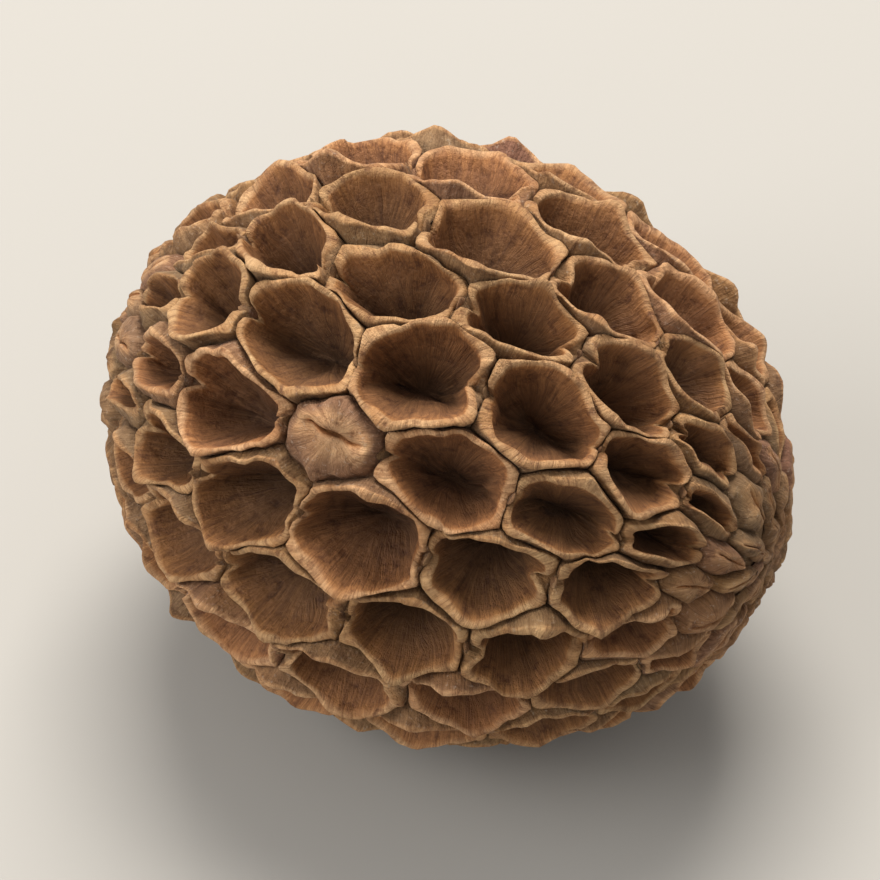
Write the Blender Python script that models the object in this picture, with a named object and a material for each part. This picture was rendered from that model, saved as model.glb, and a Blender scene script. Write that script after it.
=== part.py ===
"""A casuarina cone, the woody seed cone of a she-oak, lying on its side.

Metres, +Z up. The cone's axis lies along X, with its tip at +X and its stalk at -X. The origin is
under the middle of its box, on the surface that it rests on.

The fruits stand in whorls of ten, each whorl turned half a step from the last, so that they form
twenty straight columns and each one meets six others. A fruit is a cup of two woody valves, left
and right of a slit that runs along the cone. Each valve ends in a tip, which stands between two
fruits of the next column.
"""

import math

import bmesh
import bpy
import numpy as np

# The body is an egg, measured over the middle height of the valve rims. EGG is how much wider than
# the middle it is at the stalk, and narrower at the tip
LENGTH = 0.0250
WIDTH = 0.0206
EGG = 0.03

# The whorls run from STALK_END to TIP_END, angles off the two ends of the axis. A higher CROWDING
# draws those near the ends closer together. TURN turns all of them round the axis
PER_WHORL = 10
WHORLS = 17
CLOSED_WHORLS = 2
STALK_END = math.radians(17.0)
TIP_END = math.radians(13.5)
CROWDING = 0.4
TURN = math.radians(116.0)

# How unevenly the fruits grew: each column slips along the cone, and each fruit wanders from its
# place, in steps of a column. A stunted fruit takes less room than its neighbours
SEED = 7
SLIP = 0.16
WANDER = 0.07
UNEVEN_SIZE = 0.1
UNEVEN_LIFT = 0.00012
STUNTED_SHARE = 0.04
STUNTED_SIZE = 0.5
STUNTED_IN_VIEW = ((9, 0), (16, 1))

# A valve pair. FULL_SIZE is from the middle of a full-grown fruit to the groove round it, and the
# heights and depths, which shrink with the fruit, are from the surface of the egg
FULL_SIZE = 0.0022
GAP = 0.00015
WALL = 0.0006
GROOVE = 0.0010
DEPTH = 0.0033
FLOOR_SHARE = 0.5
TIP_RISE = 0.00062
SHOULDER_RISE = 0.00022
FOOT_RISE = 0.0
SLIT_RISE = -0.00045
BEVEL = 0.00006
CLOSED_BEVEL = 0.0003

# The crumpled tip, the broken stalk in its shallow hollow, and the small flat spot
TIP_RADIUS = 0.0009
CRUMPLE = 0.00012
STALK_RADIUS = 0.0011
STALK_LENGTH = 0.0012
HOLLOW = 0.0006
FLAT_DEPTH = 0.00085
SHARP_ANGLE = math.radians(35.0)

HALF_LENGTH = LENGTH / 2
HALF_WIDTH = WIDTH / 2


def unit(vectors):
    """The vectors at length 1."""
    return vectors / np.linalg.norm(vectors, axis=-1, keepdims=True)


def on_egg(directions, height):
    """Points at a height over the egg, which stretches the unit sphere that the directions lie on."""
    width = HALF_WIDTH * (1.0 - EGG * directions[..., :1])
    scale = np.concatenate([np.full_like(width, HALF_LENGTH), width, width], axis=-1)
    return directions * scale + unit(directions / scale) * np.asarray(height)[..., None]


def whorl_angles():
    """Each whorl's angle from the stalk, with two more whorls past both ends."""
    angles = np.linspace(0.02, math.pi - 0.02, 4001)
    crowded = np.cumsum(np.sin(angles) ** -CROWDING)
    first, last = np.interp([STALK_END, math.pi - TIP_END], angles, crowded)
    steps = (np.arange(WHORLS + 4) - 2.0) / (WHORLS - 1)
    return np.interp(first + steps * (last - first), crowded, angles)


def grown_fruits():
    """(directions, sizes, closed) of the fruits, by whorl and place, with two more whorls past both ends.

    The whorls at the ends, the stunted fruits and the one that the cone rests on never opened.
    """
    draw = np.random.default_rng(SEED)
    whorl = np.arange(WHORLS + 4)[:, None]
    place = np.arange(PER_WHORL)[None, :]
    column = (2 * place + whorl % 2) % (2 * PER_WHORL)
    slip = draw.uniform(-SLIP, SLIP, 2 * PER_WHORL)[column]
    wander_along, wander_round = draw.normal(0.0, WANDER, (2, WHORLS + 4, PER_WHORL))
    angle = np.interp(whorl + 2.0 * (slip + wander_along), whorl[:, 0], whorl_angles())
    turn = TURN + (place + 0.5 * (whorl % 2) + wander_round) * 2.0 * math.pi / PER_WHORL
    across = np.sin(angle)
    directions = np.stack([-np.cos(angle), across * np.cos(turn), across * np.sin(turn)], axis=-1)
    sizes = draw.uniform(1.0 - UNEVEN_SIZE, 1.0 + UNEVEN_SIZE, angle.shape)
    stunted = draw.random(angle.shape) < STUNTED_SHARE
    stunted[tuple(np.transpose(STUNTED_IN_VIEW))] = True
    rested_on = directions[..., 2] == directions[..., 2].min()
    from_end = np.minimum(whorl, WHORLS + 3 - whorl) - 2
    closed = stunted | rested_on | (from_end < CLOSED_WHORLS)
    return directions, np.where(stunted, STUNTED_SIZE, sizes), closed


def neighbour(whorls, places, up, side):
    """The fruit one whorl up or down and in the next column, on the right where side is 1, else the left."""
    right = places + whorls % 2
    return whorls + up, (right if side > 0 else right - 1) % PER_WHORL


def tips(directions, sizes, whorls, places, side):
    """Where valves' tips stand: between their own fruit and the two that they reach, nearer the smaller."""
    met = [(whorls, places)] + [neighbour(whorls, places, up, side) for up in (-1, 1)]
    return unit(sum(directions[at] / sizes[at][..., None] for at in met))


def outlines(directions, sizes, whorls, places):
    """Twelve directions round each fruit: six corners, each with the middle of the side after it.

    The first corner is the fruit's own tip on the right and the fourth the one on the left. The
    others are its neighbours' tips.
    """
    corners = []
    for side in (1, -1):
        corners.append(tips(directions, sizes, whorls, places, side))
        for sign in (side, -side):
            reaching = neighbour(whorls, places, side, sign)
            corners.append(tips(directions, sizes, *reaching, -sign))
    corners = np.stack(corners, axis=-2)
    middles = unit(corners + np.roll(corners, -1, axis=-2))
    return np.stack([corners, middles], axis=-2).reshape(*corners.shape[:-2], 12, 3)


def groove(outline):
    """The groove between fruits, shallower towards the ends, where the fruits are small."""
    return on_egg(outline, -GROOVE * np.linalg.norm(outline[:, 1:], axis=-1))


def drawn_in(centre, outline, share, height):
    """A fruit's outline at a share of its width and at a height."""
    return on_egg(unit(centre + (outline - centre) * share), height)


def strip(lower, upper):
    """Triangles that join two closed rows of as many points."""
    for here in range(len(lower)):
        after = (here + 1) % len(lower)
        yield lower[here], lower[after], upper[after]
        yield lower[here], upper[after], upper[here]


def fan(row, middle):
    """Triangles from a closed row to one point."""
    return [(row[here], row[(here + 1) % len(row)], middle) for here in range(len(row))]


def open_fruit(add, centre, outline, size, lift):
    """Two valves that stand open round a deep cell with a six-sided floor."""
    grown = size / FULL_SIZE
    half_rise = [TIP_RISE, SHOULDER_RISE, FOOT_RISE, SLIT_RISE, FOOT_RISE, SHOULDER_RISE]
    rise = (np.array(2 * half_rise) + lift) * grown
    sunk = on_egg(centre, -DEPTH * grown) - on_egg(centre, 0.0)
    groove_row = add(groove(outline))
    outer_row = add(drawn_in(centre, outline, 1.0 - GAP / size, rise))
    inner_row = add(drawn_in(centre, outline, 1.0 - (GAP + WALL) / size, rise - BEVEL))
    floor_row = add(drawn_in(centre, outline[::2], FLOOR_SHARE, np.zeros(6)) + sunk)
    faces = [*strip(groove_row, outer_row), *strip(outer_row, inner_row)]
    for here in range(6):
        corner, middle, after = (inner_row[(2 * here + step) % 12] for step in range(3))
        near, far = floor_row[here], floor_row[(here + 1) % 6]
        faces += [(corner, middle, near), (middle, far, near), (middle, after, far)]
    return [*faces, floor_row]


def closed_fruit(add, centre, outline, size, lift):
    """Two valves that never opened: a low hump that rises to a crest."""
    grown = size / FULL_SIZE
    rise = np.array(2 * [TIP_RISE, SHOULDER_RISE, FOOT_RISE, FOOT_RISE, FOOT_RISE, SHOULDER_RISE])
    edge = drawn_in(centre, outline, 1.0 - 1.6 * GAP / size, (rise + lift - CLOSED_BEVEL) * grown)
    crest = on_egg(centre[None], np.array([(TIP_RISE + lift) * grown]))
    groove_row, edge_row, crest_row = add(groove(outline)), add(edge), add(crest)
    return [*strip(groove_row, edge_row), *fan(edge_row, crest_row[0])]


def fruit_mesh(mesh):
    """Every fruit's triangles. Neighbours have the same points in the groove between them."""
    directions, sizes, closed = grown_fruits()
    whorls, places = np.mgrid[2:WHORLS + 2, 0:PER_WHORL]
    around = outlines(directions, sizes, whorls, places)
    lifts = np.random.default_rng(SEED + 1).normal(0.0, UNEVEN_LIFT, whorls.shape)
    points, faces = [], []

    def add(row):
        points.extend(row.tolist())
        return list(range(len(points) - len(row), len(points)))

    for at in np.ndindex(whorls.shape):
        centre, outline = directions[whorls[at], places[at]], around[at]
        size = np.linalg.norm(on_egg(outline[1::2], np.zeros(6)) - on_egg(centre, 0.0), axis=-1).mean()
        shape = closed_fruit if closed[whorls[at], places[at]] else open_fruit
        faces += shape(add, centre, outline, size, lifts[at])
    mesh.from_pydata(points, [], faces)


def turn_of(vertex):
    """A vertex's angle round the X axis."""
    return math.atan2(vertex.co.z, vertex.co.y)


def loft(bm, outer, inner):
    """Triangles between two closed rows of unlike count, both in the order of their turn round X."""
    a, b = 0, 0
    while a < len(outer) or b < len(inner):
        here, facing = outer[a % len(outer)], inner[b % len(inner)]
        outer_turn = turn_of(here) + 2.0 * math.pi * (a >= len(outer))
        inner_turn = turn_of(facing) + 2.0 * math.pi * (b >= len(inner))
        if b >= len(inner) or (a < len(outer) and outer_turn <= inner_turn):
            a += 1
            bm.faces.new((here, outer[a % len(outer)], facing))
        else:
            b += 1
            bm.faces.new((here, inner[b % len(inner)], facing))


def close_end(bm, side, rings):
    """Closes the open end on one side of X with rings of (count, radius, x, crumple) and a last face."""
    edges = [e for e in bm.edges if e.is_boundary and e.verts[0].co.x * side > 0.0]
    row = sorted({v for e in edges for v in e.verts}, key=turn_of)
    for count, radius, x, crumple in rings:
        turns = [2.0 * math.pi * (k + 0.5) / count - math.pi for k in range(count)]
        inner = [
            bm.verts.new((x + crumple * (-1) ** k, radius * math.cos(turn), radius * math.sin(turn)))
            for k, turn in enumerate(turns)
        ]
        loft(bm, row, inner)
        row = inner
    bm.faces.new(row)


def tip_rings():
    """The crowded valves at the very tip: a crumpled rim round a small pit."""
    rim = HALF_LENGTH - 2.5 * CRUMPLE
    return [
        (20, TIP_RADIUS, rim, CRUMPLE),
        (10, 0.6 * TIP_RADIUS, rim + 2.0 * CRUMPLE, CRUMPLE),
        (5, 0.3 * TIP_RADIUS, rim - 2.5 * CRUMPLE, 0.0),
    ]


def stalk_rings():
    """The stalk, which starts at the bottom of its hollow and ends in a rough break."""
    root = HOLLOW - HALF_LENGTH
    return [(10, STALK_RADIUS, root, 0.0), (10, 0.93 * STALK_RADIUS, root - STALK_LENGTH, CRUMPLE)]


def wood():
    """The cone's dry brown wood."""
    material = bpy.data.materials.new("cone wood")
    material.use_nodes = True
    shader = material.node_tree.nodes["Principled BSDF"]
    shader.inputs["Base Color"].default_value = (0.29, 0.16, 0.075, 1.0)
    shader.inputs["Roughness"].default_value = 0.75
    shader.inputs["Metallic"].default_value = 0.0
    return material


def new_collection(name):
    """A collection in the scene."""
    collection = bpy.data.collections.new(name)
    bpy.context.scene.collection.children.link(collection)
    return collection


def cone(collection):
    """The whole cone, with its box centred over the origin and its lowest tips under the ground."""
    mesh = bpy.data.meshes.new("cone")
    fruit_mesh(mesh)
    bm = bmesh.new()
    bm.from_mesh(mesh)
    bmesh.ops.remove_doubles(bm, verts=bm.verts[:], dist=1e-6)
    close_end(bm, 1, tip_rings())
    close_end(bm, -1, stalk_rings())
    bmesh.ops.recalc_face_normals(bm, faces=bm.faces[:])
    points = np.array([v.co for v in bm.verts])
    low, high = points.min(axis=0), points.max(axis=0)
    shift = (-(low[0] + high[0]) / 2.0, -(low[1] + high[1]) / 2.0, -low[2] - FLAT_DEPTH)
    bmesh.ops.translate(bm, verts=bm.verts[:], vec=shift)
    bm.to_mesh(mesh)
    bm.free()
    mesh.shade_smooth()
    mesh.set_sharp_from_angle(angle=SHARP_ANGLE)
    mesh.materials.append(wood())
    made = bpy.data.objects.new("cone", mesh)
    collection.objects.link(made)
    return made


def flatten(made, collection):
    """Takes the lowest valves off at ground level, which leaves a small flat spot to rest on."""
    side = 2.0 * LENGTH
    bpy.ops.mesh.primitive_cube_add(size=side, location=(0.0, 0.0, -side / 2.0))
    cutter = bpy.context.object
    cutter.name = "rest_cutter"
    for holder in list(cutter.users_collection):
        holder.objects.unlink(cutter)
    collection.objects.link(cutter)
    cutter.hide_render = True
    cutter.display_type = "WIRE"
    cut = made.modifiers.new("flat spot", "BOOLEAN")
    cut.operation = "DIFFERENCE"
    cut.solver = "EXACT"
    cut.object = cutter


def main():
    for old in list(bpy.data.objects):
        bpy.data.objects.remove(old, do_unlink=True)
    made = cone(new_collection("casuarina cone"))
    flatten(made, new_collection("cutters"))


main()
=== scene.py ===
"""The looks of a casuarina cone: the woody seed cone of a she-oak, lying on its side.

Metres, +Z up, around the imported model. The cone's axis lies along X, with its tip at +X.
"""

import math

import bpy
import numpy as np
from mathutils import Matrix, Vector


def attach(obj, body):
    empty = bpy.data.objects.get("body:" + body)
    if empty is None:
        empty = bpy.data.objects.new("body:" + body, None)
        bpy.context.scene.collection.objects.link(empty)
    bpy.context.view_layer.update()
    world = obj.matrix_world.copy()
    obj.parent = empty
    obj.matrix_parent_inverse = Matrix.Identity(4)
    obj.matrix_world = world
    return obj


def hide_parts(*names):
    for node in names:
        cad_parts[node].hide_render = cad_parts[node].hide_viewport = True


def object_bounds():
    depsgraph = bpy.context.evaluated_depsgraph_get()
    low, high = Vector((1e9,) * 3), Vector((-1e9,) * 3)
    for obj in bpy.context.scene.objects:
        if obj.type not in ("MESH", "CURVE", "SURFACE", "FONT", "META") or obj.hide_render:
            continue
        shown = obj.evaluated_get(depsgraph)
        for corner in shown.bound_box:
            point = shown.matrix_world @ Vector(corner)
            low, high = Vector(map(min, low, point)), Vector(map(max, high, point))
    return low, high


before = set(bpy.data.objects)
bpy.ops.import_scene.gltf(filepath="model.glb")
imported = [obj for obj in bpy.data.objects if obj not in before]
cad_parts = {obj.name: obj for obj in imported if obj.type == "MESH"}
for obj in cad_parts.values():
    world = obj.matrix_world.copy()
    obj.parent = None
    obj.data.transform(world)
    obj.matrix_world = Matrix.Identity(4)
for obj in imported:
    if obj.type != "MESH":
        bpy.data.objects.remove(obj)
cad_low, cad_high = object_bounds()

# The open fruits: cups of two thin woody valves, which dried and gaped along a slit that runs with
# the cone. They grew in whorls of ten, each turned half a step from the last, and neighbours' walls
# meet in a narrow groove. The wood is felted and dull outside, smooth inside and worn on the rims.

# The egg that the rims lie on, and how much wider than its middle it is at the stalk
HALF_LENGTH = 0.0125
HALF_WIDTH = 0.0103
EGG = 0.03

# The whorls, which run between these angles off the axis and draw closer at the ends
PER_WHORL = 10
WHORLS = 17
CLOSED_WHORLS = 2
STALK_END = math.radians(17.0)
TIP_END = math.radians(13.5)
CROWDING = 0.4
TURN = math.radians(116.0)

# How near the poles the angles are sampled that the whorls are spaced by, and how many samples
OFF_POLE = 0.02
ANGLE_SAMPLES = 4001

# How unevenly the fruits grew
SEED = 7
SLIP = 0.16
WANDER = 0.07
UNEVEN_SIZE = 0.1
UNEVEN_LIFT = 0.00012
STUNTED_SHARE = 0.04
STUNTED_SIZE = 0.5
STUNTED_IN_VIEW = ((9, 0), (16, 1))

# A full-grown fruit: its size, the gap round its rim, and the rim's height at the six points of one
# valve, from the valve's tip on. The other valve has the same six
FULL_SIZE = 0.0022
RIM_GAP = 0.00015
HALF_RIM = (0.00062, 0.00022, 0.0, -0.0002, 0.0, 0.00022)

# The depth of the groove between neighbours, which is shallower at the cone's ends, of the fruits' feet
# and of the points that close them underneath
GROOVE = 0.00045
GROOVE_AT_ENDS = 0.3
GROOVE_SLOPE = 1.6
FOOT = 0.0034
UNDERSIDE = 0.0036

# How much the solid's own points were pushed out of place, half of which lengthens it at the tip
CRUMPLE = 0.00012


def unit(vectors):
    """The vectors at length 1."""
    return vectors / np.linalg.norm(vectors, axis=-1, keepdims=True)


def on_egg(directions, height):
    """Points at a height over the egg, which stretches the unit sphere that the directions lie on."""
    width = HALF_WIDTH * (1.0 - EGG * directions[..., :1])
    scale = np.concatenate([np.full_like(width, HALF_LENGTH), width, width], axis=-1)
    return directions * scale + unit(directions / scale) * np.asarray(height)[..., None]


def whorl_angles():
    """Each whorl's angle from the stalk, spaced by the sine of the angle to the power CROWDING."""
    angles = np.linspace(OFF_POLE, math.pi - OFF_POLE, ANGLE_SAMPLES)
    crowded = np.cumsum(np.sin(angles) ** -CROWDING)
    first, last = np.interp([STALK_END, math.pi - TIP_END], angles, crowded)
    steps = (np.arange(WHORLS + 4) - 2.0) / (WHORLS - 1)
    return np.interp(first + steps * (last - first), crowded, angles)


def grown_fruits():
    """Fruits' directions, sizes and closed marks by whorl and place: straight columns, jittered by a seed."""
    draw = np.random.default_rng(SEED)
    whorl = np.arange(WHORLS + 4)[:, None]
    place = np.arange(PER_WHORL)[None, :]
    column = (2 * place + whorl % 2) % (2 * PER_WHORL)
    slip = draw.uniform(-SLIP, SLIP, 2 * PER_WHORL)[column]
    wander_along, wander_round = draw.normal(0.0, WANDER, (2, WHORLS + 4, PER_WHORL))
    angle = np.interp(whorl + 2.0 * (slip + wander_along), whorl[:, 0], whorl_angles())
    turn = TURN + (place + 0.5 * (whorl % 2) + wander_round) * 2.0 * math.pi / PER_WHORL
    across = np.sin(angle)
    directions = np.stack([-np.cos(angle), across * np.cos(turn), across * np.sin(turn)], axis=-1)
    sizes = draw.uniform(1.0 - UNEVEN_SIZE, 1.0 + UNEVEN_SIZE, angle.shape)
    stunted = draw.random(angle.shape) < STUNTED_SHARE
    stunted[tuple(np.transpose(STUNTED_IN_VIEW))] = True
    rested_on = directions[..., 2] == directions[..., 2].min()
    from_end = np.minimum(whorl, WHORLS + 3 - whorl) - 2
    closed = stunted | rested_on | (from_end < CLOSED_WHORLS)
    return directions, np.where(stunted, STUNTED_SIZE, sizes), closed


def neighbour(whorls, places, up, side):
    """The fruit one whorl up or down and in the next column, on the right where side is 1, else the left."""
    right = places + whorls % 2
    return whorls + up, (right if side > 0 else right - 1) % PER_WHORL


def tips(directions, sizes, whorls, places, side):
    """Where valves' tips stand: the mean of their own fruit and the two that they reach, by size."""
    met = [(whorls, places)] + [neighbour(whorls, places, up, side) for up in (-1, 1)]
    return unit(sum(directions[at] / sizes[at][..., None] for at in met))


def outlines(directions, sizes, whorls, places):
    """Twelve directions round each fruit: six corners, each with the middle of the side after it."""
    corners = []
    for side in (1, -1):
        corners.append(tips(directions, sizes, whorls, places, side))
        for sign in (side, -side):
            reaching = neighbour(whorls, places, side, sign)
            corners.append(tips(directions, sizes, *reaching, -sign))
    corners = np.stack(corners, axis=-2)
    middles = unit(corners + np.roll(corners, -1, axis=-2))
    return np.stack([corners, middles], axis=-2).reshape(*corners.shape[:-2], 12, 3)


directions, sizes, closed = grown_fruits()
whorls, places = (index.ravel() for index in np.mgrid[2:WHORLS + 2, 0:PER_WHORL])
centre = directions[whorls, places]
outline = outlines(directions, sizes, whorls, places)
lift = np.random.default_rng(SEED + 1).normal(0.0, UNEVEN_LIFT, (WHORLS, PER_WHORL)).ravel()
shut = closed[whorls, places]


def sizes_of(centres, lines):
    """Each fruit's size: the mean distance from its middle to the middles of its six sides."""
    middles = on_egg(lines[:, 1::2], np.zeros(6)) - on_egg(centres, 0.0)[:, None]
    return np.linalg.norm(middles, axis=-1).mean(axis=1)


# The egg is set in the frame's box by its rims and its tip, as the solid is
size = sizes_of(centre, outline)
solid_rim = on_egg(
    unit(centre[:, None] + (outline - centre[:, None]) * (1.0 - RIM_GAP / size)[:, None, None]),
    (np.array(2 * HALF_RIM) + lift[:, None]) * size[:, None] / FULL_SIZE,
)[~shut]
EGG_CENTRE = np.array([
    cad_high.x - HALF_LENGTH - 0.5 * CRUMPLE,
    (cad_low.y + cad_high.y - solid_rim[..., 1].min() - solid_rim[..., 1].max()) / 2.0,
    cad_high.z - solid_rim[..., 2].max(),
])

# Places along an outline, in steps of half a side from the right tip: closer together at the slits,
# and even about the middle of each side, so that neighbours have the same points in their groove
SIDE_STEPS = np.linspace(0.0, 2.0, 9, endpoint=False)
SLIT_STEPS = 2.0 + np.array([0.0, 0.25, 0.5, 0.72, 0.88, 1.0, 1.12, 1.28, 1.5, 1.75])
HALF_ROUND = np.concatenate([SIDE_STEPS, SLIT_STEPS, SIDE_STEPS + 4.0])
ROUND = np.concatenate([HALF_ROUND, HALF_ROUND + 6.0])

# Rows of an open cup from its groove, over the rim and down to its floor. In turn: inset from the
# groove in millimetres, share of the rim's own rise, height in millimetres, share of the mouth's
# squeeze, side (0 outer, 1 inner), and wear, which is 1 on the rim
OPEN_ROWS = np.array([
    (0.015, 0.6, -0.24, 0.3, 0.0, 0.0),
    (0.02, 1.0, -0.14, 0.8, 0.0, 0.35),
    (0.02, 1.0, -0.04, 1.0, 0.0, 0.9),
    (0.045, 1.0, 0.01, 1.0, 0.2, 1.0),
    (0.11, 1.0, 0.02, 1.0, 0.5, 1.0),
    (0.18, 1.0, 0.00, 1.0, 0.8, 1.0),
    (0.225, 1.0, -0.05, 1.0, 1.0, 0.8),
    (0.26, 1.0, -0.24, 1.0, 1.0, 0.2),
    (0.36, 0.6, -0.90, 1.0, 1.0, 0.0),
    (0.52, 0.2, -1.70, 0.9, 1.0, 0.0),
    (0.78, 0.0, -2.50, 0.7, 1.0, 0.0),
    (1.25, 0.0, -3.05, 0.5, 1.0, 0.0),
])
OPEN_FLOOR = -3.25

# The depth in millimetres that a groove's painted shade is taken from
GROOVE_SHADE = 0.8

# How far the two valves close in on each other toward the floor, where they meet in a crease, and the
# depths in millimetres between which they do
CREASE = 0.8
CREASE_FROM = 0.9
CREASE_TO = 3.2

# Rows of a closed cup from its outer foot to the bottom of its slit: width across the slit and along
# it as shares of the outline, share of the rim's own rise, height in millimetres, side and wear
CLOSED_ROWS = np.array([
    (0.99, 0.99, 0.0, -0.70, 0.0, 0.0),
    (0.94, 0.95, 0.3, -0.42, 0.0, 0.0),
    (0.80, 0.88, 0.5, 0.02, 0.0, 0.05),
    (0.55, 0.80, 0.4, 0.30, 0.0, 0.35),
    (0.30, 0.72, 0.3, 0.46, 0.0, 0.85),
    (0.13, 0.66, 0.3, 0.50, 0.4, 1.0),
    (0.05, 0.60, 0.3, 0.40, 1.0, 0.5),
    (0.03, 0.52, 0.0, 0.05, 1.0, 0.0),
])
CLOSED_FLOOR = 0.0
MILLIMETRE = 0.001

# How far a corner's rounding reaches along the outline, in half sides: of the rim's height, of the
# outer side and of the inner side
RISE_REACH = 0.35
OUTER_REACH = 0.22
INNER_REACH = 0.8

# The least share of its outline that a row of an open cup keeps
LEAST_SHARE = 0.1

# Small waves along a rim: how many in a full round, and the height of one that went round once. Then
# how the wall's thickness swings: waves in a round and the share of the thickness
RIM_WAVES = (5, 9, 14)
RIM_WAVE_HEIGHT = 0.00018
WALL_WAVES = ((2, 0.26), (3, 0.16), (7, 0.10))

# How far a notch, a pinch and a lean reach along the outline, in half sides
NOTCH_REACH = 0.2
PINCH_REACH = 0.45
LEAN_REACH = 1.8

# The fruits' habits, as spreads of random draws in metres and shares: the rise of the valves' tips and
# of the other corners, the most that a valve leans, the depth of the slit's notches, how far its ends
# pinch in, and how wide its mouth is
TIP_RISE = (-0.00003, 0.00022)
CORNER_RISE = (0.0, 0.0001)
MOST_LEAN = 0.2
NOTCH = (0.0003, 0.0009)
PINCH = (0.09, 0.15)
MOST_PINCH = 0.4
MOUTH = (0.98, 0.03)
LEAST_MOUTH = 0.85

# The ripples of the dried wood: seed, length and height
SLOW_RIPPLE = (21, 0.0045, 0.00015)
FINE_RIPPLE = (22, 0.0011, 0.00005)

# The grain's third coordinate: how far it is from one fruit to the next, and how much it changes in
# a metre of depth
GRAIN_APART = 3.7
GRAIN_PER_METRE = 60.0


def along(knots, where):
    """Straight runs between the twelve knots of each outline, at these places along it."""
    before = np.floor(where).astype(int)
    share = (where - before)[:, None]
    return knots[:, before % 12] * (1.0 - share) + knots[:, (before + 1) % 12] * share


def eased(knots, where, reach):
    """The same runs with their corners rounded: a weighted mean over places within reach."""
    weights = np.array([1.0, 2.0, 3.0, 2.0, 1.0]) / 9.0
    offsets = np.linspace(-reach, reach, len(weights))
    return sum(w * along(knots, where + offset) for w, offset in zip(weights, offsets))


def ripple(points, seed, length, height):
    """A smooth random push at each point: the sum of eight sine waves of about this length, over root 8."""
    draw = np.random.default_rng(seed)
    waves = unit(draw.normal(size=(8, 3))) * draw.uniform(0.7, 1.4, (8, 1)) * 2.0 * math.pi / length
    pushes = draw.normal(size=(8, 3)) * height / math.sqrt(8.0)
    return np.sin(points @ waves.T + draw.uniform(0.0, 2.0 * math.pi, 8)) @ pushes


def axes_of(centres):
    """The directions along the cone and across it at each fruit, both square to its own."""
    with_cone = unit(np.array([1.0, 0.0, 0.0]) - centres * centres[..., :1])
    return with_cone, np.cross(with_cone, centres)


def drawn(centres, lines, share_across, share_along):
    """Outlines scaled about their fruits, by one share across the cone and another along it."""
    with_cone, across = axes_of(centres)
    offset = lines - centres[:, None]
    part_along = np.einsum("fuk,fk->fu", offset, with_cone)[..., None] * with_cone[:, None]
    part_across = np.einsum("fuk,fk->fu", offset, across)[..., None] * across[:, None]
    rest = offset - part_along - part_across
    kept = part_across * share_across[..., None] + part_along * share_along[..., None]
    return unit(centres[:, None] + kept + rest * np.minimum(share_across, share_along)[..., None])


def bell(middle, reach):
    """A hump of height 1 round each outline about a place on it."""
    return np.exp(-(((ROUND - middle + 6.0) % 12.0 - 6.0) / reach) ** 2)


def habits(count, seed):
    """Each fruit's own ways, drawn from a seed. Leans go by the cube of an even draw, so most are small."""
    draw = np.random.default_rng(seed)
    tip_rise = np.zeros((count, 12))
    tip_rise[:, [0, 6]] = draw.normal(*TIP_RISE, (count, 2))
    tip_rise[:, [2, 4, 8, 10]] = draw.normal(*CORNER_RISE, (count, 4))
    return {
        "tip_rise": tip_rise,
        "lean": draw.uniform(0.0, 1.0, (count, 2)) ** 3 * MOST_LEAN,
        "notch": draw.uniform(*NOTCH, (count, 2)),
        "pinch": np.clip(draw.normal(*PINCH, (count, 2)), 0.0, MOST_PINCH),
        "phase": draw.uniform(0.0, 2.0 * math.pi, (count, 3)),
        "openness": np.clip(draw.normal(*MOUTH, count), LEAST_MOUTH, 1.0),
    }


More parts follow.
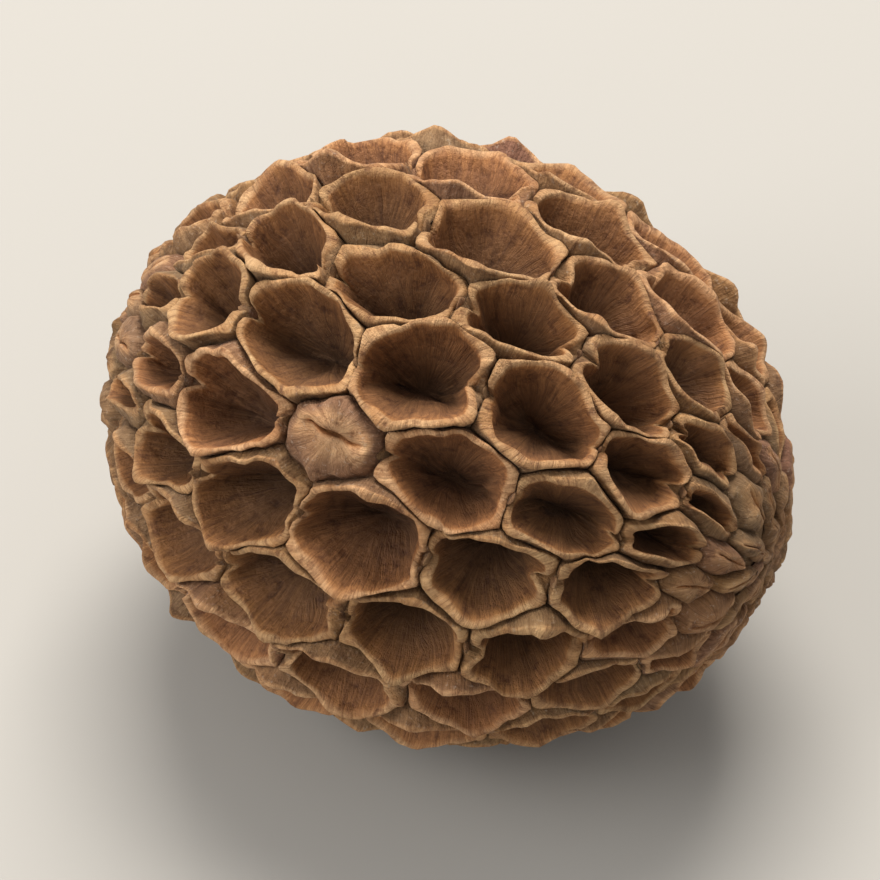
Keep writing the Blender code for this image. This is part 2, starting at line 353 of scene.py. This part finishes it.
def cups(centres, lines, lifts, ways, rows, floor_height):
    """Points, faces and marks of fruits' cups: rows of points round each from its foot to its floor.

    An open cup's row is the outline scaled about the fruit by 1 - inset / size, and a closed cup's by
    its own two shares. It lies at its own height over the egg plus its share of the rim's rise, which is
    the rim's eased knots plus sines round it, less a bell at each end of an open slit. The last two
    points of each cup are its floor's middle and its underside's, which close it.
    """
    opened = rows is OPEN_ROWS
    s = sizes_of(centres, lines)
    g = s / FULL_SIZE
    knots = np.array([HALF_RIM * 2]) + lifts[:, None] + ways["tip_rise"]
    rise = eased(knots[..., None], ROUND, RISE_REACH)[..., 0]
    for order, turns in enumerate(RIM_WAVES):
        wave = np.sin(turns * ROUND * math.pi / 6.0 + ways["phase"][:, order, None])
        rise = rise + wave * RIM_WAVE_HEIGHT / turns
    pull, tilt = np.zeros(rise.shape), np.zeros(rise.shape)
    if opened:
        for end, slit in enumerate((3.0, 9.0)):
            rise = rise - ways["notch"][:, end, None] * bell(slit, NOTCH_REACH)
            pull = pull + ways["pinch"][:, end, None] * bell(slit, PINCH_REACH)
        for end, tip in enumerate((0.0, 6.0)):
            tilt = tilt + ways["lean"][:, end, None] * bell(tip, LEAN_REACH)
    rise = rise * g[:, None]
    thick = np.ones(rise.shape)
    for order, (turns, swing) in enumerate(WALL_WAVES):
        thick = thick + swing * np.sin(turns * ROUND * math.pi / 6.0 + ways["phase"][:, 2 - order, None])
    crisp, rounded = eased(lines, ROUND, OUTER_REACH), eased(lines, ROUND, INNER_REACH)
    sharp = unit(along(lines, ROUND))
    off_axis = np.linalg.norm(sharp[..., 1:], axis=-1)
    groove = -GROOVE * np.clip(GROOVE_SLOPE * off_axis, GROOVE_AT_ENDS, 1.0)
    foot = -FOOT * g[:, None] * np.ones(rise.shape)
    layers = [on_egg(sharp, foot), on_egg(sharp, groove)]
    for row in rows:
        if opened:
            inset, rim_share, height, squeeze = row[:4]
            share = np.clip(1.0 - inset * MILLIMETRE * thick / s[:, None], LEAST_SHARE, 1.0)
            crease = CREASE * np.clip((-height - CREASE_FROM) / (CREASE_TO - CREASE_FROM), 0.0, 1.0)
            mouth = (1.0 - squeeze * (1.0 - ways["openness"]))[:, None]
            share_across = share * mouth * (1.0 - tilt * rim_share) * (1.0 - crease)
            share_along = share * (1.0 - pull * squeeze)
        else:
            share_across, share_along, rim_share, height = (np.full(rise.shape, value) for value in row[:4])
        line = unit(crisp * (1.0 - row[-2]) + rounded * row[-2])
        flat = drawn(centres, line, share_across, share_along)
        layers.append(on_egg(flat, rim_share * rise + height * MILLIMETRE * g[:, None]))
    count, columns = len(layers), len(ROUND)
    floor_middle = on_egg(centres, floor_height * MILLIMETRE * g)
    poles = np.stack([floor_middle, on_egg(centres, -UNDERSIDE * g)], axis=1)
    points = np.concatenate([np.stack(layers, axis=1).reshape(len(s), -1, 3), poles], axis=1)
    marks = np.zeros((len(s), count * columns + 2, 3))
    marks[:, 2 * columns:-2, :2] = np.repeat(rows[:, -2:], columns, axis=0)
    marks[:, -2, 0] = 1.0
    # The third mark is the depth in millimetres that painted shade is taken from: foot and groove rows at
    # GROOVE_SHADE
    heights = np.append([-GROOVE_SHADE, -GROOVE_SHADE], rows[:, 2 if opened else 3])
    marks[:, :-2, 2] = np.maximum(0.0, -np.repeat(heights, columns))
    marks[:, -2:, 2] = -floor_height
    first = np.arange(len(s))[:, None, None] * (count * columns + 2)
    here = np.arange((count - 1) * columns).reshape(count - 1, columns)
    after = np.roll(here, -1, axis=1)
    quads = first[..., None] + np.stack([here, after, after + columns, here + columns], axis=-1)
    last = here[-1] + columns
    floor = np.full(columns, count * columns)
    under = floor + 1
    fans = first + np.concatenate([
        np.stack([last, np.roll(last, -1), floor], axis=-1),
        np.stack([here[0], under, np.roll(here[0], -1)], axis=-1),
    ])
    return points, quads.reshape(-1, 4), fans.reshape(-1, 3), marks


def strands_of(points, centres, numbers):
    """Coordinates that the grain follows: the way round each fruit, then its number and depth."""
    with_cone, across = axes_of(centres)
    offset = points - on_egg(centres, 0.0)[:, None]
    spread = np.stack([np.einsum("fpk,fk->fp", offset, axis) for axis in (with_cone, across)], axis=-1)
    round_fruit = spread / np.maximum(np.linalg.norm(spread, axis=-1, keepdims=True), 1e-5)
    depth = np.einsum("fpk,fk->fp", offset, centres)
    return np.dstack([round_fruit, numbers[:, None] * GRAIN_APART + depth * GRAIN_PER_METRE])


def settled(points):
    """Points rippled as wood that dried, moved into the frame and kept in its box, level where it rests."""
    moved = points + ripple(points, *SLOW_RIPPLE) + ripple(points, *FINE_RIPPLE) + EGG_CENTRE
    return np.clip(moved, cad_low, cad_high)


def piece(name, points, faces, marks, numbers, strands):
    """A mesh object with its marks, its fruits' numbers and its strands as attributes."""
    mesh = bpy.data.meshes.new(name)
    mesh.from_pydata(points.reshape(-1, 3).tolist(), [], faces)
    flat_marks = marks.reshape(-1, 3)
    for label, kind, field, values in (
        ("side", "FLOAT", "value", flat_marks[:, 0]),
        ("wear", "FLOAT", "value", flat_marks[:, 1]),
        # depth: how deep a point lies, which sets the painted shade of its colour
        ("depth", "FLOAT", "value", flat_marks[:, 2]),
        ("fruit", "FLOAT", "value", numbers),
        ("strand", "FLOAT_VECTOR", "vector", strands),
    ):
        layer = mesh.attributes.new(label, kind, "POINT")
        layer.data.foreach_set(field, np.ascontiguousarray(values, np.float32).ravel())
    mesh.shade_smooth()
    made = bpy.data.objects.new(name, mesh)
    bpy.context.scene.collection.objects.link(made)
    return made


def fruit_piece(name, centres, lines, lifts, ways, numbers, rows, floor_height):
    """The cups of a group of fruits as one piece."""
    points, quads, fans, marks = cups(centres, lines, lifts, ways, rows, floor_height)
    strands = strands_of(points, centres, numbers)
    each = np.repeat(numbers, points.shape[1])
    return piece(name, settled(points), quads.tolist() + fans.tolist(), marks, each, strands)


class Wire:
    """A shader socket that sums and products can be written with. Numbers alone never become nodes."""

    def __init__(self, tree, socket=None):
        self.tree = tree
        self.socket = socket

    def node(self, kind, settings=None, inputs=None, output=0):
        """A new node with its settings and then its inputs, each a value or a wire, and one output."""
        made = self.tree.nodes.new(kind)
        for name, value in (settings or {}).items():
            if name == "stops":
                ramp = made.color_ramp
                while len(ramp.elements) < len(value):
                    ramp.elements.new(1.0)
                for element, (place, colour) in zip(ramp.elements, value):
                    element.position, element.color = place, colour
            else:
                setattr(made, name, value)
        for name, value in (inputs or {}).items():
            if isinstance(value, Wire):
                self.tree.links.new(value.socket, made.inputs[name])
            else:
                made.inputs[name].default_value = value
        return Wire(self.tree, made.outputs[output])

    def math(self, operation, first, second=0.0):
        """A Math node on two values."""
        return self.node("ShaderNodeMath", {"operation": operation}, {0: first, 1: second})

    def __add__(self, other):
        return self.math("ADD", self, other)

    __radd__ = __add__

    def __mul__(self, other):
        return self.math("MULTIPLY", self, other)

    __rmul__ = __mul__

    def __sub__(self, other):
        return self.math("SUBTRACT", self, other)

    def __rsub__(self, other):
        return self.math("SUBTRACT", other, self)

    def clamped(self, low, high):
        """This value mapped from low..high to 0..1 and held there."""
        inputs = {"Value": self, "From Min": low, "From Max": high}
        return self.node("ShaderNodeMapRange", {"clamp": True}, inputs)

    def mixed(self, share, first, second, blend="MIX"):
        """A colour between two, by the second's share."""
        settings = {"data_type": "RGBA", "blend_type": blend, "clamp_factor": True}
        return self.node("ShaderNodeMix", settings, {0: share, 6: first, 7: second}, output=2)

    def mix(self, first, second, blend="MIX"):
        """A colour between two, with this value as the share of the second."""
        return self.mixed(self, first, second, blend)

    def ramp(self, *stops):
        """The colour at this value along a row of stops."""
        return self.node("ShaderNodeValToRGB", {"stops": stops}, {"Fac": self})

    def noise(self, vector, scale, detail=4.0, roughness=0.6):
        """Noise over a vector, as a value."""
        inputs = {"Vector": vector, "Scale": scale, "Detail": detail, "Roughness": roughness}
        return self.node("ShaderNodeTexNoise", {}, inputs)

    def attribute(self, name, output):
        """An attribute of the mesh."""
        return self.node("ShaderNodeAttribute", {"attribute_name": name}, output=output)


# Colours of the dry wood, as linear light. The last six lie over the others: a dusky cast on some
# outer sides, dark streaks and pits, pale dust, and each fruit's own golden or rosy cast
RIM_TAN = (0.50, 0.262, 0.108, 1.0)
RIM_PALE = (0.68, 0.445, 0.24, 1.0)
INNER_LIP = (0.49, 0.23, 0.078, 1.0)
INNER_BROWN = (0.315, 0.142, 0.050, 1.0)
# Painted shade: the two darkest inner browns are the shade deep in a cup, painted into its colour
INNER_DEEP_SHADE = (0.225, 0.107, 0.042, 1.0)
INNER_FLOOR_SHADE = (0.165, 0.082, 0.037, 1.0)
OUTER_BROWN = (0.34, 0.182, 0.073, 1.0)
OUTER_GREY = (0.345, 0.22, 0.118, 1.0)
DUSK = (0.25, 0.112, 0.075, 1.0)
STREAK = (0.42, 0.33, 0.26, 1.0)
PIT = (0.38, 0.27, 0.19, 1.0)
DUST = (0.46, 0.36, 0.27, 1.0)
GOLDEN_CAST = (1.0, 0.965, 0.80, 1.0)
ROSY_CAST = (1.0, 0.90, 0.90, 1.0)


def valve_wood():
    """Dry wood: worn tan rims, smooth chestnut walls with painted shade that deepens with depth, felted outer
    sides.
    """
    material = bpy.data.materials.new("valve wood")
    material.use_nodes = True
    tree = material.node_tree
    shader = tree.nodes["Principled BSDF"]
    wire = Wire(tree)
    place = wire.node("ShaderNodeTexCoord", output="Object")
    strand = wire.attribute("strand", "Vector")
    side = wire.attribute("side", "Fac")
    wear = wire.attribute("wear", "Fac")
    depth = wire.attribute("depth", "Fac")
    fruit = wire.attribute("fruit", "Fac")
    grain = wire.noise(strand, 9.0, 5.0, 0.65)
    fine_grain = wire.noise(strand, 34.0, 3.0, 0.7)
    blotch = wire.noise(place, 620.0, 5.0, 0.65)
    patch = wire.noise(place, 190.0, 4.0, 0.55)
    fuzz = wire.noise(place, 5200.0, 3.0, 0.7)
    pits = wire.noise(place, 1900.0, 5.0, 0.7)
    own = wire.node("ShaderNodeTexWhiteNoise", {"noise_dimensions": "1D"}, {"W": fruit}, output="Value")
    # Inner walls: their own chestnut colour, with painted shade that darkens toward the floor by the depth
    # mark
    inner = (depth * 0.3 + (grain - 0.5) * 0.12).ramp(
        (0.0, INNER_LIP), (0.16, INNER_BROWN), (0.5, INNER_DEEP_SHADE), (0.95, INNER_FLOOR_SHADE)
    )
    outer = patch.clamped(0.38, 0.62).mix(OUTER_BROWN, OUTER_GREY)
    dusky = (own.clamped(0.55, 1.0) * patch.clamped(0.3, 0.6) * 0.8).mix(outer, DUSK)
    unworn = side.mix(dusky, inner)
    tan = blotch.clamped(0.35, 0.7).mix(RIM_TAN, RIM_PALE)
    worn = (wear * (0.3 + blotch * 1.3)).clamped(0.25, 0.9).mix(unworn, tan)
    streaked = (grain.clamped(0.38, 0.68) * 0.7).mix(worn, STREAK, "MULTIPLY")
    crossed = (fine_grain.clamped(0.42, 0.66) * 0.55).mix(streaked, STREAK, "MULTIPLY")
    pitted = (pits.clamped(0.52, 0.68) * 0.85).mix(crossed, PIT, "MULTIPLY")
    dusty = (fuzz.clamped(0.58, 0.74) * (1.0 - side) * 0.6).mix(pitted, DUST)
    cast = own.clamped(0.1, 0.9).mix(GOLDEN_CAST, ROSY_CAST)
    tinted = wire.mixed(0.6, dusty, cast, "MULTIPLY")
    # Brightness: random tone by blotch and fruit, less painted shade on outer sides by their depth, in
    # grooves and at feet
    tone_and_painted_shade = (0.84 + blotch * 0.1 + own * 0.27) - (1.0 - side) * depth * 0.3
    shaded = wire.node("ShaderNodeVectorMath", {"operation": "SCALE"}, {0: tinted, "Scale": tone_and_painted_shade})
    tree.links.new(shaded.socket, shader.inputs["Base Color"])
    rough = 0.86 - side * 0.2 + blotch * 0.12
    tree.links.new(rough.socket, shader.inputs["Roughness"])
    raised = grain * 0.5 + fine_grain * 0.3 + blotch * 0.7 + fuzz * (0.4 - side * 0.35)
    height = raised - pits * (0.6 + wear * 0.5)
    bump = wire.node("ShaderNodeBump", {}, {"Strength": 0.85, "Distance": 0.00026, "Height": height})
    tree.links.new(bump.socket, shader.inputs["Normal"])
    return material


wood = valve_wood()
number = np.arange(len(centre), dtype=float)
from_end = np.minimum(whorls, WHORLS + 3 - whorls) - 2 - CLOSED_WHORLS

# The mouths of the first open whorl from an end, as a share, and how much more each next whorl has
END_MOUTH = 0.6
MOUTH_STEP = 0.2
ways = habits(len(centre), SEED + 2)
ways["openness"] = ways["openness"] * np.clip(END_MOUTH + MOUTH_STEP * from_end, END_MOUTH, 1.0)
open_ways = {key: value[~shut] for key, value in ways.items()}
open_fruits = fruit_piece(
    "open_fruits",
    centre[~shut],
    outline[~shut],
    lift[~shut],
    open_ways,
    number[~shut],
    OPEN_ROWS,
    OPEN_FLOOR,
)
open_fruits.data.materials.append(wood)
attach(open_fruits, "root")
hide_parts("cone")

# The closed fruits: those that stayed small or shut, and the crowded ones at both ends. Their two
# valves meet in a crest with a fine slit along it. They are the same wood, grown from the same axis.
shut_ways = {key: value[shut] for key, value in ways.items()}
closed_fruits = fruit_piece(
    "closed_fruits",
    centre[shut],
    outline[shut],
    lift[shut],
    shut_ways,
    number[shut],
    CLOSED_ROWS,
    CLOSED_FLOOR,
)
closed_fruits.data.materials.append(wood)
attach(closed_fruits, "root")
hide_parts("cone")

# The last small fruits, which never opened: two rings round the tip with one fruit on its point, and
# a ring round the foot of the stalk. Same wood, standing on the rounded ends of the axis.

# In turn: which end (1 the tip), angle off the axis in degrees, how many, and the half length and
# half width of each in millimetres
END_RINGS = (
    (1, 7.8, 9, 0.74, 0.48),
    (1, 3.5, 5, 0.56, 0.41),
    (1, 0.9, 1, 0.38, 0.30),
    (-1, 11.2, 10, 0.78, 0.60),
)

# How unevenly they grew: least and most share of the angle and of the half sizes, then the mean and
# the spread of their lift in metres. Last, the first of their numbers
END_ANGLES = (0.93, 1.07)
END_BULGES = (0.88, 1.1)
END_LIFT = (-0.0002, 0.0003)
END_NUMBER = 200.0


def ring_of_fruits(end, degrees, count, half_long, half_wide, draw):
    """Middles and outlines of a ring of small fruits about one end: ellipses set evenly, then jittered."""
    steps = np.arange(count) + draw.uniform(0.0, 1.0) + draw.normal(0.0, WANDER, count)
    turn = steps * 2.0 * math.pi / count
    off = math.radians(degrees) * draw.uniform(*END_ANGLES, count)
    middles = np.stack([end * np.cos(off), np.sin(off) * np.cos(turn), np.sin(off) * np.sin(turn)], axis=-1)
    with_cone, across = axes_of(middles)
    angle = np.arange(12) * math.pi / 6.0
    bulge = draw.uniform(*END_BULGES, (count, 12)) * MILLIMETRE / HALF_WIDTH
    wide = (np.cos(angle) * half_wide * bulge)[..., None] * across[:, None]
    long = (np.sin(angle) * half_long * bulge)[..., None] * with_cone[:, None]
    return middles, unit(middles[:, None] + wide + long)


draw = np.random.default_rng(SEED + 3)
rings = [ring_of_fruits(*ring, draw) for ring in END_RINGS]
ring_middles = np.concatenate([ring[0] for ring in rings])
ring_lines = np.concatenate([ring[1] for ring in rings])
ring_count = len(ring_middles)
end_fruits = fruit_piece(
    "end_fruits",
    ring_middles,
    ring_lines,
    draw.normal(*END_LIFT, ring_count),
    habits(ring_count, SEED + 4),
    END_NUMBER + np.arange(ring_count),
    CLOSED_ROWS,
    CLOSED_FLOOR,
)
end_fruits.data.materials.append(wood)
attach(end_fruits, "root")
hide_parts("cone")

# The axis's two ends and the short broken stalk: turned forms along the cone's axis, of the same
# woody tissue. The stalk is ribbed like the twig that it is, and frayed where it snapped off.

# Points (place along X from the egg's middle, radius) in millimetres, from one pole to the other
TIP_END_PROFILE = (
    (12.36, 0.0), (12.3, 0.9), (12.12, 1.8), (11.84, 2.7), (11.5, 3.1), (10.5, 3.1), (9.8, 0.0)
)
STALK_END_PROFILE = (
    (-9.8, 0.0), (-10.2, 3.7), (-11.1, 3.65), (-11.5, 3.3), (-11.75, 2.6), (-11.95, 1.9), (-12.0, 1.4),
    (-12.0, 0.0),
)
STALK_PROFILE = (
    (-11.2, 0.0), (-11.3, 1.5), (-11.75, 1.45), (-11.95, 1.22), (-12.2, 1.1), (-12.5, 1.06), (-12.8, 1.05),
    (-12.95, 1.07), (-13.02, 1.02), (-13.0, 0.9), (-12.92, 0.75), (-12.96, 0.5), (-12.9, 0.3), (-12.75, 0.16),
    (-12.7, 0.0),
)

# The stalk's ribs, how far from the egg's middle its fraying starts and in what length it grows to the
# full, the points round each form, and the number that the three forms share
STALK_RIBS = 9
BREAK_START = 0.0127
BREAK_LENGTH = 0.0003
END_COLUMNS = 72
AXIS_NUMBER = 300.0


def turned(profile, columns, rib_height, fray, seed):
    """Points and faces of a profile turned about X: radius times (1 + rib_height * cos(ribs * angle)).

    Toward a broken end each point is also pushed inward along X by the size of a random draw.
    """
    knots = np.array(profile) * MILLIMETRE
    inner = knots[1:-1]
    angle = np.arange(columns) * 2.0 * math.pi / columns
    ribs = 1.0 + rib_height * np.cos(STALK_RIBS * angle)
    radius = inner[:, 1:] * ribs
    rings_of_points = np.stack([
        np.repeat(inner[:, :1], columns, axis=1),
        radius * np.cos(angle),
        radius * np.sin(angle),
    ], axis=-1)
    end_share = np.clip((-inner[:, :1] - BREAK_START) / BREAK_LENGTH, 0.0, 1.0)
    frays = np.random.default_rng(seed).normal(0.0, fray, (len(inner), columns)) * end_share
    rings_of_points[..., 0] += np.abs(frays)
    points = np.concatenate([rings_of_points.reshape(-1, 3), [[knots[0, 0], 0, 0], [knots[-1, 0], 0, 0]]])
    here = np.arange((len(inner) - 1) * columns).reshape(-1, columns)
    after = np.roll(here, -1, axis=1)
    quads = np.stack([here, here + columns, after + columns, after], axis=-1).reshape(-1, 4)
    first, last = here[0], here[-1] + columns
    pole = np.full(columns, len(inner) * columns)
    fans = np.concatenate([
        np.stack([pole, first, np.roll(first, -1)], axis=-1),
        np.stack([pole + 1, np.roll(last, -1), last], axis=-1),
    ])
    return points, quads.tolist() + fans.tolist()


# In turn: name, profile, height of the ribs, fray of the break, wear, and depth for painted shade
# The two ends of the axis carry painted shade through their depth; the stalk carries none
for name, profile, rib_height, fray, wear, depth in (
    ("tip_end", TIP_END_PROFILE, 0.0, 0.0, 0.0, 0.9),
    ("stalk_end", STALK_END_PROFILE, 0.0, 0.0, 0.0, 0.9),
    ("stalk", STALK_PROFILE, 0.05, 0.00006, 0.35, 0.0),
):
    points, faces = turned(profile, END_COLUMNS, rib_height, fray, SEED + 5)
    marks = np.zeros((len(points), 3))
    marks[:, 1] = wear
    marks[:, 2] = depth
    turn = np.arctan2(points[:, 2], points[:, 1])
    grain_way = np.stack([np.cos(turn), np.sin(turn), points[:, 0] * GRAIN_PER_METRE], axis=-1)
    numbers = np.full(len(points), AXIS_NUMBER)
    end_piece = piece(name, settled(points), faces, marks, numbers, grain_way)
    end_piece.data.materials.append(wood)
    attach(end_piece, "root")
    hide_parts("cone")

# The bracts: one small pointed scale at the stalk side of each fruit's slit, save in the whorls at both
# ends, in the groove before the next fruit of its column. Each is a woody blade that thins to its tip.
BRACT_LENGTH = 0.0008
BRACT_ROOT = 0.00085
BRACT_HALF_WIDTH = 0.00044
BRACT_HALF_THICKNESS = 0.00010
BRACT_BEND = -0.00012
BRACT_ROWS = 7
BRACT_COLUMNS = 12

# The powers by which a blade narrows and thins, least and most share of its length, and its worn tip:
# how much wear, on the last so many rows' worth of points. Last, what is added to its fruit's number
BRACT_NARROWING = 0.7
BRACT_THINNING = 0.4
BRACT_TALLNESS = (0.75, 1.15)
BRACT_WEAR = 0.7
BRACT_WORN_ROWS = 3
BRACT_NUMBER = 400.0


def bract_points(feet, scales, draw):
    """Blades at their feet: ellipses that shrink by powers of 1 - v up the blade, bent by v squared."""
    with_cone, across = axes_of(feet)
    v = np.linspace(0.0, 1.0, BRACT_ROWS + 1)[:-1, None]
    angle = np.arange(BRACT_COLUMNS) * 2.0 * math.pi / BRACT_COLUMNS
    wide = BRACT_HALF_WIDTH * (1.0 - v) ** BRACT_NARROWING * np.cos(angle)
    thick = BRACT_HALF_THICKNESS * (1.0 - v) ** BRACT_THINNING * np.sin(angle) + BRACT_BEND * v ** 2
    length = (BRACT_LENGTH * v) * np.ones(BRACT_COLUMNS)
    wide, thick, length = (np.append(part.ravel(), ends) for part, ends in (
        (wide, (0.0, 0.0)), (thick, (BRACT_BEND, 0.0)), (length, (BRACT_LENGTH, 0.0)),
    ))
    tall = scales[:, None] * draw.uniform(*BRACT_TALLNESS, (len(feet), 1))
    return (
        on_egg(feet, -BRACT_ROOT * scales)[:, None]
        + feet[:, None] * (length * tall)[..., None]
        + across[:, None] * (wide * scales[:, None])[..., None]
        + with_cone[:, None] * (thick * scales[:, None])[..., None]
    )


def bract_faces(count):
    """Faces of the blades: rows of quads, closed with a fan at the tip and another at the foot."""
    here = np.arange((BRACT_ROWS - 1) * BRACT_COLUMNS).reshape(-1, BRACT_COLUMNS)
    after = np.roll(here, -1, axis=1)
    quads = np.stack([here, after, after + BRACT_COLUMNS, here + BRACT_COLUMNS], axis=-1).reshape(-1, 4)
    tip = np.full(BRACT_COLUMNS, BRACT_ROWS * BRACT_COLUMNS)
    last = here[-1] + BRACT_COLUMNS
    fans = np.concatenate([
        np.stack([last, np.roll(last, -1), tip], axis=-1),
        np.stack([here[0], tip + 1, np.roll(here[0], -1)], axis=-1),
    ])
    first = np.arange(count)[:, None, None] * (BRACT_ROWS * BRACT_COLUMNS + 2)
    return (quads + first).reshape(-1, 4).tolist() + (fans + first).reshape(-1, 3).tolist()


beside_slit = from_end > -1
feet = outline[beside_slit, 9]
bract_scales = (size / FULL_SIZE)[beside_slit]
blades = bract_points(feet, bract_scales, np.random.default_rng(SEED + 6))
blade_marks = np.zeros((*blades.shape[:2], 3))
blade_marks[:, -BRACT_WORN_ROWS * BRACT_COLUMNS:, 1] = BRACT_WEAR
blade_strands = strands_of(blades, feet, number[beside_slit])
bracts = piece(
    "bracts",
    settled(blades),
    bract_faces(len(feet)),
    blade_marks,
    np.repeat(BRACT_NUMBER + number[beside_slit], blades.shape[1]),
    blade_strands,
)
bracts.data.materials.append(wood)
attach(bracts, "root")
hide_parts("cone")

# The floor, which the cone lies on: a plain pale matt board, wide enough to fill every view. It is
# only there to show the cone's shadow.
FLOOR_HALF = 5.0
FLOOR_COLOUR = (0.40, 0.385, 0.36, 1.0)
FLOOR_ROUGHNESS = 0.9

floor_mesh = bpy.data.meshes.new("floor")
floor_corners = [(x * FLOOR_HALF, y * FLOOR_HALF, 0.0) for x, y in ((-1, -1), (1, -1), (1, 1), (-1, 1))]
floor_mesh.from_pydata(floor_corners, [], [(0, 1, 2, 3)])
floor_paint = bpy.data.materials.new("pale floor")
floor_paint.use_nodes = True
floor_paint.node_tree.nodes["Principled BSDF"].inputs["Base Color"].default_value = FLOOR_COLOUR
floor_paint.node_tree.nodes["Principled BSDF"].inputs["Roughness"].default_value = FLOOR_ROUGHNESS
floor_mesh.materials.append(floor_paint)
floor_board = bpy.data.objects.new("floor", floor_mesh)
bpy.context.scene.collection.objects.link(floor_board)

# The camera looks down on the cone from its tip's side, so that its axis falls to the right by about
# twenty degrees and the cone fills most of the picture.
CAMERA_TURN = math.radians(25.4)
CAMERA_TILT = math.radians(50.0)
CAMERA_DISTANCE = 0.20
VIEW_WIDTH = 0.0315
LENS = 100.0

# How high on the cone the camera aims, as a share of its height
AIM_HEIGHT = 0.49

cone_middle = Vector((0.0, 0.0, cad_high.z * AIM_HEIGHT))
back = Vector((
    math.sin(CAMERA_TURN) * math.cos(CAMERA_TILT),
    -math.cos(CAMERA_TURN) * math.cos(CAMERA_TILT),
    math.sin(CAMERA_TILT),
))
camera = bpy.data.objects.new("camera", bpy.data.cameras.new("camera"))
camera.data.lens = LENS
camera.data.sensor_width = LENS * VIEW_WIDTH / CAMERA_DISTANCE
camera.data.clip_start = 0.01
camera.location = cone_middle + back * CAMERA_DISTANCE
camera.rotation_euler = back.to_track_quat("Z", "Y").to_euler()
bpy.context.scene.collection.objects.link(camera)
bpy.context.scene.camera = camera

# Soft studio light: a broad warm lamp above and behind the cone, a weaker one from the left, and an
# even pale surround. In turn: name, place, width, power and colour
LAMPS = (
    ("key", (-0.05, 0.12, 0.26), 0.16, 1.15, (1.0, 0.96, 0.90)),
    ("fill", (-0.20, -0.16, 0.18), 0.20, 0.6, (1.0, 0.98, 0.95)),
)
SURROUND_COLOUR = (1.0, 0.99, 0.97, 1.0)
SURROUND_STRENGTH = 0.5

for name, where, width, power, colour in LAMPS:
    lamp = bpy.data.objects.new(name, bpy.data.lights.new(name, "AREA"))
    lamp.data.size = width
    lamp.data.energy = power
    lamp.data.color = colour
    lamp.location = where
    lamp.rotation_euler = (Vector(where) - cone_middle).to_track_quat("Z", "Y").to_euler()
    bpy.context.scene.collection.objects.link(lamp)

surround = bpy.data.worlds.new("surround")
surround.use_nodes = True
surround.node_tree.nodes["Background"].inputs["Color"].default_value = SURROUND_COLOUR
surround.node_tree.nodes["Background"].inputs["Strength"].default_value = SURROUND_STRENGTH
bpy.context.scene.world = surround
bpy.context.scene.view_settings.view_transform = "Standard"
